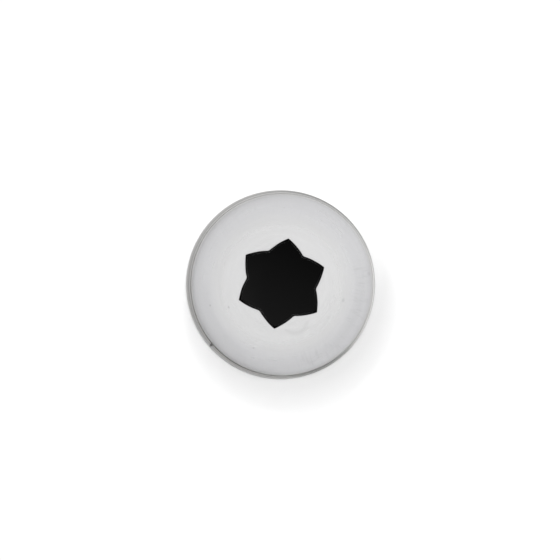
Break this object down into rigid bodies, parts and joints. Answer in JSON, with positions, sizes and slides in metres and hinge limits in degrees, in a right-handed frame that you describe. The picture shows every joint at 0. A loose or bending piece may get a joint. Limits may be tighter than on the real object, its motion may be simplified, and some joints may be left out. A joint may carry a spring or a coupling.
{
  "type": "piping nozzle",
  "caption": "Sheet steel piping nozzle: a straight-sided cone with a six-pointed star mouth cut in its small end and a rolled, wired rim at its large end.",
  "frame": {"origin": "middle of the rim, on the surface that the nozzle stands on", "axes": "+Z along the nozzle towards its star mouth; +X to the right and +Y up in the picture, which looks straight down"},
  "size_m": [0.03, 0.03, 0.05],
  "materials": {
    "polished_sheet": "polished stainless sheet with fine brushing round the cone",
    "rim_wire": "plain drawn steel wire"
  },
  "bodies": {
    "root": {"nozzle_shell": "polished_sheet", "rim_wire": "rim_wire"}
  },
  "joints": []
}
